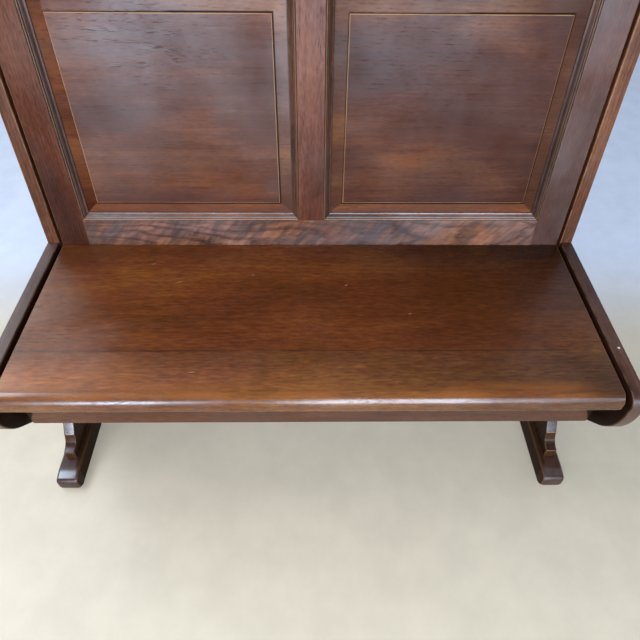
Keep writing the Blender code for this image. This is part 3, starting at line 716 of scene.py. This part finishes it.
def field_lines(side, here, wood):
    """Warm margin of a panel, the rubbed edge of its field and a painted shadow beside it, all on
    its front.
    """
    stain = looks().stain
    flats = sloped(side + "_panel")
    front = min(flat.y for flat in flats)
    low, high = corners([flat for flat in flats if flat.y < front + FIELD_FLAT])
    middle = SLOPE @ ((low + high) / 2)
    half = (high - low) / 2
    x, y, z = axes(place_in(here, middle, BACK_TURN))
    past_side = abs(x) - half.x
    past_end = abs(z) - half.z
    past = larger(past_side, past_end)
    below = calc('GREATER_THAN', past_end, past_side) * calc('LESS_THAN', z, 0.0)

    (share, rise), (reach, reach_up) = FLAMES[side]
    flame = middle + SLOPE @ Vector((share * half.x, 0.0, rise - half.z))
    near = place_in(here, flame, BACK_TURN, (reach, 1.0, reach_up))
    ragged = cloud(here, 10.0, 38.0, 7.0, 2.0, 0.6) * 0.9 + size_of(near)
    figured = mix(spread(ragged, 1.35, 0.65), wood, (1.30, 1.08, 0.66), 'MULTIPLY')

    outer = spread(x, 0.0, -0.02) if side == "left" else 0.0
    outer_tone = mix(spread(z + half.z, 0.02, 0.13), OUTER_FOOT, OUTER_TOP)
    tone = mix(below, mix(outer, SIDE_MARGIN, outer_tone), MARGINS[side])
    warm = mix(spread(past, 0.0, 0.002), figured, tone, 'MULTIPLY')

    patches = spread(cloud(here, 14.0, 14.0, 8.0), 0.30, 0.55, 0.35, 0.80)
    edge = spread(past, -0.0017, -0.0009) * spread(past, 0.0004, 0.0) * patches
    if side == "right":
        edge = edge * spread(x, half.x - 0.008, half.x - 0.003, 1.0, 0.4)
    # Painted shadow beside the step of the field, heaviest below it and on its right side
    gap = spread(past - (below * 0.0016 + 0.0036), 0.0, -0.0018)
    thick = larger(below, spread(x, 0.0, 0.02)) * 0.60 + 0.25
    painted_shadow = gap * spread(past, 0.0001, 0.0005) * thick
    marked = mix(painted_shadow, mix(edge, warm, stain.worn), stain.wax)

    in_front = spread(y, FRONT_DEPTH + 0.002, FRONT_DEPTH)
    dry_margin = spread(past_side, 0.0, 0.002, 0.0, 0.7) * outer
    return mix(in_front, wood, marked), larger(painted_shadow, dry_margin) * in_front


# Pieces

# Angles between faces, in degrees: a corner that is softened, one that is rubbed or waxed, a fold, and the
# least that shows as an edge on wood and on iron
CORNER = 50.0
RUBBED = 32.0
FOLD = 170.0
WOOD_EDGE = 55.0
IRON_EDGE = 35.0

# Depth of the nosing that wanders, the number of lengths that the seat is cut into for it, and how much of
# each end of the seat stays straight
NOSING = 0.030
SEAT_LENGTHS = 72
STRAIGHT_END = 0.004


def sloped(node):
    """Corners of a piece of the back, measured along its slope."""
    return [LEVEL @ vert.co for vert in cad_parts[node].data.vertices]


def corners(places):
    """Low and high corner of the box round some places."""
    return (Vector([min(place[axis] for place in places) for axis in range(3)]),
            Vector([max(place[axis] for place in places) for axis in range(3)]))


def moulding_of(side, edge):
    """Name of one moulding of a panel."""
    return "%s_panel_%s_moulding" % (side, edge)


def edges_between(mesh, low, high):
    """Edges whose faces meet at an angle in a range, in degrees, where outer corners count as positive."""
    return [edge for edge in mesh.edges
            if edge.is_manifold and low < math.degrees(edge.calc_face_angle_signed(0.0)) < high]


def mark(mesh, name, edges):
    """Give a mesh a named layer that is full at the ends of some edges."""
    layer = mesh.verts.layers.float.new(name)
    for edge in edges:
        for vert in edge.verts:
            vert[layer] = 1.0


def dressed_mesh(node, arris, quirk):
    """Copy of a solid with joined faces and softened corners, worn outside, with old wax and painted
    shade inside.
    """
    mesh = bmesh.new()
    mesh.from_mesh(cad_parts[node].data)
    bmesh.ops.remove_doubles(mesh, verts=mesh.verts[:], dist=1e-5)
    bmesh.ops.dissolve_limit(mesh, angle_limit=math.radians(0.3), verts=mesh.verts[:], edges=mesh.edges[:])
    soft = {'segments': 2, 'profile': 0.5, 'affect': 'EDGES', 'clamp_overlap': True}
    bmesh.ops.bevel(mesh, geom=edges_between(mesh, CORNER, FOLD), offset=arris, **soft)
    if quirk:
        bmesh.ops.bevel(mesh, geom=edges_between(mesh, -FOLD, -CORNER), offset=quirk, **soft)
    mark(mesh, "wear", edges_between(mesh, RUBBED, FOLD))
    mark(mesh, "wax", edges_between(mesh, -FOLD, -RUBBED) if quirk else [])
    return mesh


def hand_over(mesh, name):
    """Turn a working mesh into a Blender mesh with smooth rounds and flat faces."""
    data = bpy.data.meshes.new(name)
    mesh.to_mesh(data)
    mesh.free()
    data.shade_smooth()
    data.set_sharp_from_angle(angle=math.radians(WOOD_EDGE))
    return data


def middle_of(node):
    """Middle of a solid's box."""
    low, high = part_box(node)
    return (low + high) / 2


def dress(node, finish, grain, marks=None, shape=None, quirk=0.0):
    """Replace one solid with its finished board."""
    mesh = dressed_mesh(node, looks().grain.arris, quirk)
    if shape:
        shape(mesh)
    name = node + "_oak"
    thing = put(name, hand_over(mesh, name))
    thing.data.materials.append(oak(name, finish, grain, middle_of(node), marks))
    level = thing.modifiers.new("even_faces", 'WEIGHTED_NORMAL')
    level.keep_sharp = True
    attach(thing, "root")
    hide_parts(node)


def cut(mesh, place, normal):
    """Cut all faces of a mesh along a plane."""
    parts = mesh.verts[:] + mesh.edges[:] + mesh.faces[:]
    bmesh.ops.bisect_plane(mesh, geom=parts, dist=1e-6, plane_co=place, plane_no=normal)


def wander_nosing(mesh):
    """Cut the seat into short lengths and let its worn front edge wander a little."""
    low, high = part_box("seat")
    reach = looks().grain.nosing_wander
    wear = mesh.verts.layers.float["wear"]
    for number in range(1, SEAT_LENGTHS):
        cut(mesh, (low.x + (high.x - low.x) * number / SEAT_LENGTHS, 0.0, 0.0), (1.0, 0.0, 0.0))
    for vert in mesh.verts:
        share = min((low.y + NOSING - vert.co.y) / NOSING, 1.0)
        if share > 0.0 and low.x + STRAIGHT_END < vert.co.x < high.x - STRAIGHT_END:
            wave = noise.noise(Vector((vert.co.x * 7.0, 3.1, vert.co.z * 20.0)))
            vert.co.y += share * reach * (wave + 0.4)
        if vert.co.y < low.y + 0.002 and low.z + 0.0004 < vert.co.z < low.z + 0.002:
            vert[wear] = 1.0


def mark_sawn(mesh):
    """Note which faces of a leg were sawn to the outline of the end."""
    sawn = mesh.faces.layers.float.new("sawn")
    for face in mesh.faces:
        face[sawn] = 1.0 if abs(face.normal.x) < 0.4 else 0.0


def wax_shade_margin(side, mesh):
    """Draw a line of old wax and painted shade on the margin of a panel, along each moulding."""
    quirk = looks().grain.quirk
    front = min(flat.y for flat in sloped(side + "_panel"))
    limits = []
    for edge, axis, inward in (("left", 0, 1), ("right", 0, -1), ("bottom", 2, 1), ("top", 2, -1)):
        low, high = corners(sloped(moulding_of(side, edge)))
        limit = high[axis] if inward > 0 else low[axis]
        limits.append((axis, limit, inward))
        normal = Vector((0.0, 0.0, 0.0))
        normal[axis] = 1.0
        for inset in (0.0, quirk * 1.4):
            cut(mesh, SLOPE @ (normal * (limit + inward * inset)), SLOPE @ normal)
    wax = mesh.verts.layers.float["wax"]
    for vert in mesh.verts:
        flat = LEVEL @ vert.co
        under = any((flat[axis] - limit) * inward < 1e-5 for axis, limit, inward in limits)
        if under and flat.y < front + FRONT_DEPTH:
            vert[wax] = 1.0


class BENCH_OT_seat(Operator):
    """Finish the seat plank"""
    bl_idname = "bench.seat"
    bl_label = "Seat"

    def execute(self, context):
        grain = Grain(ALONG, (0.0, 0.05, -0.16), 3.7, (0.012, 0.010))
        dress("seat", finishes()['seat'], grain, seat_marks, wander_nosing)
        return {'FINISHED'}


class BENCH_OT_under_frame(Operator):
    """Finish the apron, ledger, bearers and cleats"""
    bl_idname = "bench.under_frame"
    bl_label = "Under-frame"

    def execute(self, context):
        plain = finishes()['under']
        dress("front_apron", plain, Grain(ALONG, (0.0, 0.02, -0.22), 11.2), apron_end_shadows)
        dress("rear_ledger", plain, Grain(ALONG, (0.0, 0.10, -0.08), 17.9))
        for side, seed in (("left", 21.3), ("right", 24.8)):
            dress(side + "_seat_bearer", plain, Grain(DEEP, (0.09, 0.0, -0.06), seed))
            cleat = Grain(UPRIGHT, (0.07, 0.05, 0.0), seed + 7.0, lean=RECLINE)
            dress(side + "_back_cleat", plain, cleat)
        return {'FINISHED'}


class BENCH_OT_ends(Operator):
    """Finish the end boards, posts, legs and feet"""
    bl_idname = "bench.ends"
    bl_label = "Ends"

    def execute(self, context):
        stains = finishes()
        for side, sign, seed in (("left", -1, 31.4), ("right", 1, 38.6)):
            board = Grain(DEEP, (sign * 0.10, 0.0, -0.10), seed)
            dress(side + "_end_board", stains['end'], board, end_shade)
            post = Grain(UPRIGHT, (sign * 0.12, 0.06, 0.0), seed + 11.0, lean=RECLINE)
            dress(side + "_back_post", stains[side + '_post'], post)
            leg = Grain(UPRIGHT, (sign * 0.10, 0.03, 0.0), seed + 23.0)
            dress(side + "_leg", stains[side + '_leg'], leg, partial(leg_marks, side), mark_sawn)
            foot = Grain(DEEP, (0.0, 0.0, -0.09), seed + 29.0)
            dress(side + "_foot", stains['foot'], foot, partial(foot_marks, side))
        return {'FINISHED'}


class BENCH_OT_back_frame(Operator):
    """Finish the rails, stiles and muntin of the back"""
    bl_idname = "bench.back_frame"
    bl_label = "Back frame"

    def execute(self, context):
        stains = finishes()
        for node, pith, seed, warp in (("bottom_rail", 0.010, 53.0, 3.2), ("top_rail", -0.020, 57.0, 3.0)):
            rail = Grain(ALONG, (0.0, 0.060, pith), seed, (-0.04, 0.06), RECLINE, ring=1.25, warp=warp)
            dress(node, stains['rail'], rail, ray_figure)
        for side, sign, seed in (("left", -1, 61.0), ("right", 1, 66.0)):
            stile = Grain(UPRIGHT, (sign * 0.14, 0.08, 0.0), seed, lean=RECLINE)
            dress(side + "_stile", stains[side + '_stile'], stile)
        muntin = Grain(UPRIGHT, (0.02, 0.09, 0.0), 71.0, (0.01, 0.02), RECLINE)
        dress("muntin", stains['muntin'], muntin)
        return {'FINISHED'}


class BENCH_OT_panels(Operator):
    """Finish the raised panels"""
    bl_idname = "bench.panels"
    bl_label = "Panels"

    def execute(self, context):
        stains = finishes()
        quirk = looks().grain.quirk
        left = Grain(ALONG, (0.0, 0.10, 0.10), 81.0, (0.01, 0.015), RECLINE)
        right = Grain(ALONG, (0.0, 0.12, -0.05), 87.0, (-0.008, 0.012), RECLINE)
        for side, grain in (("left", left), ("right", right)):
            dress(side + "_panel", stains[side + '_panel'], grain, partial(field_lines, side),
                  partial(wax_shade_margin, side), quirk)
        return {'FINISHED'}


class BENCH_OT_mouldings(Operator):
    """Finish the mitred mouldings round the panels"""
    bl_idname = "bench.mouldings"
    bl_label = "Mouldings"

    def execute(self, context):
        stains = finishes()
        quirk = looks().grain.quirk / 2
        seed = 91.0
        for side in ("left", "right"):
            for edge, way in (("bottom", ALONG), ("top", ALONG), ("left", UPRIGHT), ("right", UPRIGHT)):
                grain = Grain(way, (0.03, 0.08, 0.05), seed, lean=RECLINE)
                stain = stains['moulding' if way == ALONG else 'upright_moulding']
                dress(moulding_of(side, edge), stain, grain, quirk=quirk)
                seed += 3.0
        return {'FINISHED'}


class BENCH_OT_dowels(Operator):
    """Finish the dowels inside the ends"""
    bl_idname = "bench.dowels"
    bl_label = "Dowels"

    def execute(self, context):
        bare = Vector(looks().stain.bare)
        plain = Finish(tuple(bare * 0.6), tuple(bare), tuple(bare * 1.3), wear=0.0, roughness=0.62,
                       shine=0.2, uneven=0.0)
        for number, node in enumerate(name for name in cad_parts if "_dowel_" in name):
            way = DEEP if "_post_dowel_" in node else UPRIGHT
            grain = Grain(way, (0.03, 0.02, 0.01), 120.0 + number)
            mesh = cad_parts[node].data
            mesh.materials.clear()
            mesh.materials.append(oak(node + "_bare", plain, grain, middle_of(node)))
        return {'FINISHED'}


# Screws

SCREW_INPUTS = {
    'NodeSocketVector': ("Start", "End", "Facing"),
    'NodeSocketInt': ("Count", "Seed"),
    'NodeSocketFloat': ("Head Radius", "Head Depth", "Head Rise", "Slot Width", "Slot Depth"),
    'NodeSocketMaterial': ("Material",),
}

# Distances from the ends of a piece to the first and last screw of its rows
BEARER_INSET = 0.035
SEAT_INSET = 0.070
CLEAT_INSET = 0.06
LEDGER_INSET = 0.09

# Distances of the ledger's row from its front, and of a cleat's row from the middle of the cleat
LEDGER_ROW = 0.015
CLEAT_ROW = 0.004


def moved(shape, height):
    """A shape lifted along Z."""
    lift = add('ShaderNodeCombineXYZ', {'Z': height})
    return add('GeometryNodeTransform', {'Geometry': shape, 'Translation': lift})


def slotted_head(given):
    """A screw head with its slot, seated at its height in the wood."""
    radius, depth = given["Head Radius"], given["Head Depth"]
    head = add('GeometryNodeMeshCylinder', {'Vertices': 20, 'Radius': radius, 'Depth': depth})
    size = {'X': radius * 3.0, 'Y': given["Slot Width"], 'Z': given["Slot Depth"] * 2.0}
    slot = add('GeometryNodeMeshCube', {'Size': add('ShaderNodeCombineXYZ', size)})
    sawn = add('GeometryNodeMeshBoolean', {0: head, 1: moved(slot, depth * 0.5)}, operation='DIFFERENCE')
    return moved(sawn, given["Head Rise"] - depth * 0.5)


def screw_turn(given):
    """Turn of each screw: along its facing, with its slot left at random."""
    aim = add('FunctionNodeAlignRotationToVector', {'Vector': given["Facing"]}, axis='Z')
    chance = add('FunctionNodeRandomValue', {3: math.pi, 'Seed': given["Seed"]}, 1, data_type='FLOAT')
    spin = add('FunctionNodeAxisAngleToRotation', {'Axis': (0.0, 0.0, 1.0), 'Angle': chance})
    return add('FunctionNodeRotateRotation', {'Rotation': aim, 'Rotate By': spin}, rotation_space='LOCAL')


def screw_tree():
    """Geometry nodes of a row of slotted screws between two points."""
    tree = bpy.data.node_groups.new("screw_row", 'GeometryNodeTree')
    given = group_inputs(tree, SCREW_INPUTS)
    ends = {'Count': given["Count"], 'Start Location': given["Start"], 'Offset': given["End"]}
    row = add('GeometryNodeMeshLine', ends, mode='END_POINTS', count_mode='TOTAL')
    heads = {'Points': row, 'Instance': slotted_head(given), 'Rotation': screw_turn(given)}
    placed = add('GeometryNodeInstanceOnPoints', heads)
    real = add('GeometryNodeRealizeInstances', {'Geometry': placed})
    coated = add('GeometryNodeSetMaterial', {'Geometry': real, 'Material': given["Material"]})
    group_outputs(tree, 'NodeSocketGeometry', {"Mesh": coated})
    return tree


def dull_iron():
    """Dull, browned iron of old screws."""
    sizes = looks().screws
    material, shader, here = new_material("screw_iron")
    rust = spread(cloud(here, 420.0, 420.0, 5.0, 3.0, 0.6), 0.42, 0.68)
    feed(shader, {'Base Color': mix(rust, sizes.iron, sizes.rust), 'Metallic': 0.85,
                  'Roughness': spread(rust, 0.0, 1.0, 0.38, 0.75)})
    return material


def screw_row(tree, material, name, start, end, facing, count, seed):
    """One row of screws as a plain mesh."""
    sizes = looks().screws
    host = put(name, bpy.data.meshes.new(name))
    maker = host.modifiers.new("screws", 'NODES')
    maker.node_group = tree
    values = {"Start": start, "End": end, "Facing": facing, "Count": count, "Seed": seed,
              "Material": material, "Head Radius": sizes.head_radius, "Head Depth": sizes.head_depth,
              "Head Rise": sizes.head_rise, "Slot Width": sizes.slot_width, "Slot Depth": sizes.slot_depth}
    for socket in tree.interface.items_tree:
        if socket.in_out == 'INPUT':
            maker[socket.identifier] = values[socket.name]
    made = host.evaluated_get(bpy.context.evaluated_depsgraph_get())
    host.data = bpy.data.meshes.new_from_object(made)
    host.modifiers.remove(maker)
    host.data.set_sharp_from_angle(angle=math.radians(IRON_EDGE))
    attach(host, "root")


class BENCH_OT_screws(Operator):
    """Set the screws of the bearers, ledger and cleats"""
    bl_idname = "bench.screws"
    bl_label = "Screws"

    def execute(self, context):
        count = looks().screws.count
        set_row = partial(screw_row, screw_tree(), dull_iron())
        down = (0.0, 0.0, -1.0)
        back = SLOPE @ Vector((0.0, 1.0, 0.0))
        for side, sign in (("left", -1), ("right", 1)):
            low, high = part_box(side + "_seat_bearer")
            inner = high.x if sign < 0 else low.x
            centre = (low + high) / 2
            ends = [(inner, y, centre.z) for y in (low.y + BEARER_INSET, high.y - BEARER_INSET)]
            set_row(side + "_bearer_screws", *ends, (-sign, 0.0, 0.0), count, 3 + sign)
            ends = [(centre.x, y, low.z) for y in (low.y + SEAT_INSET, high.y - SEAT_INSET)]
            set_row(side + "_seat_screws", *ends, down, count - 1, 9 + sign)
            low, high = corners(sloped(side + "_back_cleat"))
            row = (low.x + high.x) / 2 - sign * CLEAT_ROW
            ends = [SLOPE @ Vector((row, high.y, z)) for z in (low.z + CLEAT_INSET, high.z - CLEAT_INSET)]
            set_row(side + "_cleat_screws", *ends, back, count + 1, 20 + sign)
        low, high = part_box("rear_ledger")
        ends = [(x, low.y + LEDGER_ROW, low.z) for x in (low.x + LEDGER_INSET, high.x - LEDGER_INSET)]
        set_row("ledger_screws", *ends, down, count + 3, 15)
        return {'FINISHED'}


# Stage

# Window panes in front of the bench: left and right edge, sill, head and share of the full brightness, and
# the plane in which they all stand
PANES = (
    (-1.55, -0.94, 0.15, 1.35, 2.45),
    (-0.22, 0.28, 0.15, 1.45, 1.15),
    (0.28, 1.25, 0.15, 2.50, 1.45),
    (1.25, 2.05, 0.40, 2.60, 0.26),
    (2.20, 2.85, 1.00, 2.60, 0.60),
)
WINDOW = -3.0

# Points that the lamps face, and the tints of daylight and of walls
SEAT_FRONT = (0.0, -0.20, 0.42)
LEFT_CORNER = (-0.5, -0.25, 0.44)
COOL = (0.91, 0.93, 1.0)
WARM = (1.0, 0.96, 0.91)

# Distance from the middle of the floor to its edges
FLOOR_REACH = 9.0


def pale_floor(stage):
    """Pale floor that turns cooler behind the bench."""
    material, shader, here = new_material("pale_floor")
    plain = mix(spread(axes(here)[1], 0.20, 0.70), stage.floor, stage.distance)
    mottle = spread(cloud(here, 9.0, 9.0, 2.0, 5.0, 0.65), 0.25, 0.75, 0.93, 1.05)
    feed(shader, {'Base Color': scaled(plain, mottle), 'Roughness': 0.55})
    return material


def studio_air(stage):
    """Light from all round: brighter on the left, dim overhead."""
    world = bpy.data.worlds.new("studio_air")
    world.use_nodes = True
    tree = world.node_tree
    x, _, z = axes(add('ShaderNodeTexCoord', {}, 'Generated', tree=tree))
    sides = mix(spread(x, -0.8, 0.8), stage.air_left, stage.air_right)
    whole = mix(spread(z, 0.30, 0.90), sides, stage.air_above)
    feed(tree.nodes['Background'], {'Color': whole})
    return world


def lamp(name, place, aim, size, power, tint, shown=True, lit=True):
    """A soft rectangular lamp that faces a point, shown in polished wood or not, and lighting or not."""
    data = bpy.data.lights.new(name, 'AREA')
    data.shape = 'RECTANGLE'
    data.size, data.size_y = size
    data.energy = power
    data.color = tint
    thing = put(name, data)
    thing.location = place
    thing.rotation_euler = (Vector(aim) - Vector(place)).to_track_quat('-Z', 'Y').to_euler()
    thing.visible_glossy = shown
    thing.visible_diffuse = lit


def set_panes(glow, tint):
    """Window panes that show only in polished wood."""
    for number, (left, right, sill, head, share) in enumerate(PANES):
        middle = Vector(((left + right) / 2, WINDOW, (sill + head) / 2))
        size = (right - left, head - sill)
        power = glow * share * math.pi * size[0] * size[1]
        inside = middle + Vector((0.0, 1.0, 0.0))
        lamp("pane_%d" % (number + 1), middle, inside, size, power, tint, lit=False)


def set_lamps(stage):
    """A lamp and a wall that show at the left, and four soft lights that don't show."""
    lamp("left_lamp", (-1.42, -0.12, 1.6), LEFT_CORNER, (0.85, 0.60), stage.lamp_power, stage.pane_tint,
         lit=False)
    lamp("left_wall", (-2.3, 1.6, 2.4), LEFT_CORNER, (1.2, 1.2), stage.wall_power, WARM, lit=False)
    lamp("side_light", (-2.1, 0.43, 3.12), LEFT_CORNER, (2.2, 1.2), stage.side_power, COOL, shown=False)
    lamp("front_light", (0.10, -3.0, 2.0), SEAT_FRONT, (1.6, 0.6), stage.front_power, COOL, shown=False)
    lamp("front_fill", (-1.1, -3.3, 1.9), (0.0, 0.0, 0.4), (3.4, 2.0), stage.fill_power, WARM, shown=False)
    lamp("key", (-1.3, -0.7, 2.1), SEAT_FRONT, (1.0, 1.0), stage.key_power, WARM, shown=False)


def set_camera(stage):
    """Camera above the front of the bench, looking down at it."""
    data = bpy.data.cameras.new("camera")
    data.lens = stage.lens
    data.sensor_width = 36.0
    data.clip_start = 0.02
    camera = put("camera", data)
    turn = Matrix.Rotation(-stage.yaw, 4, 'Z') @ Matrix.Rotation(math.pi / 2 - stage.pitch, 4, 'X')
    camera.matrix_world = Matrix.Translation(stage.camera) @ turn @ Matrix.Rotation(stage.roll, 4, 'Z')
    bpy.context.scene.camera = camera


class BENCH_OT_stage(Operator):
    """Set the floor, the lamps and the camera"""
    bl_idname = "bench.stage"
    bl_label = "Stage"

    def execute(self, context):
        stage = looks().stage
        context.scene.view_settings.view_transform = 'Standard'
        mesh = bmesh.new()
        bmesh.ops.create_grid(mesh, x_segments=1, y_segments=1, size=FLOOR_REACH)
        floor = put("floor", hand_over(mesh, "floor"))
        floor.data.materials.append(pale_floor(stage))
        context.scene.world = studio_air(stage)
        set_panes(stage.pane_glow, stage.pane_tint)
        set_lamps(stage)
        set_camera(stage)
        return {'FINISHED'}


class BENCH_PT_bench(Panel):
    """Sidebar panel of the bench"""
    bl_idname = "BENCH_PT_bench"
    bl_label = "Panelled Oak Bench"
    bl_space_type = 'VIEW_3D'
    bl_region_type = 'UI'
    bl_category = "Bench"

    def draw(self, context):
        layout = self.layout
        for step in STEPS:
            layout.operator(step.bl_idname)
        bench = context.scene.bench
        for group in (bench.stain, bench.grain, bench.screws, bench.stage):
            box = layout.box()
            for name in group.bl_rna.properties.keys():
                if name not in {"rna_type", "name"}:
                    box.prop(group, name)


STEPS = (BENCH_OT_seat, BENCH_OT_under_frame, BENCH_OT_ends, BENCH_OT_back_frame, BENCH_OT_panels,
         BENCH_OT_mouldings, BENCH_OT_dowels, BENCH_OT_screws, BENCH_OT_stage)
CLASSES = (BenchStain, BenchGrain, BenchScrews, BenchStage, BenchLooks) + STEPS + (BENCH_PT_bench,)


def register():
    """Add the settings, the operators and the panel."""
    for cls in CLASSES:
        bpy.utils.register_class(cls)
    bpy.types.Scene.bench = PointerProperty(type=BenchLooks)


def unregister():
    """Take them away again."""
    del bpy.types.Scene.bench
    for cls in reversed(CLASSES):
        bpy.utils.unregister_class(cls)


def main():
    """Run every step."""
    register()
    bpy.ops.bench.seat()
    bpy.ops.bench.under_frame()
    bpy.ops.bench.ends()
    bpy.ops.bench.back_frame()
    bpy.ops.bench.panels()
    bpy.ops.bench.mouldings()
    bpy.ops.bench.dowels()
    bpy.ops.bench.screws()
    bpy.ops.bench.stage()


if __name__ == "__main__":
    main()
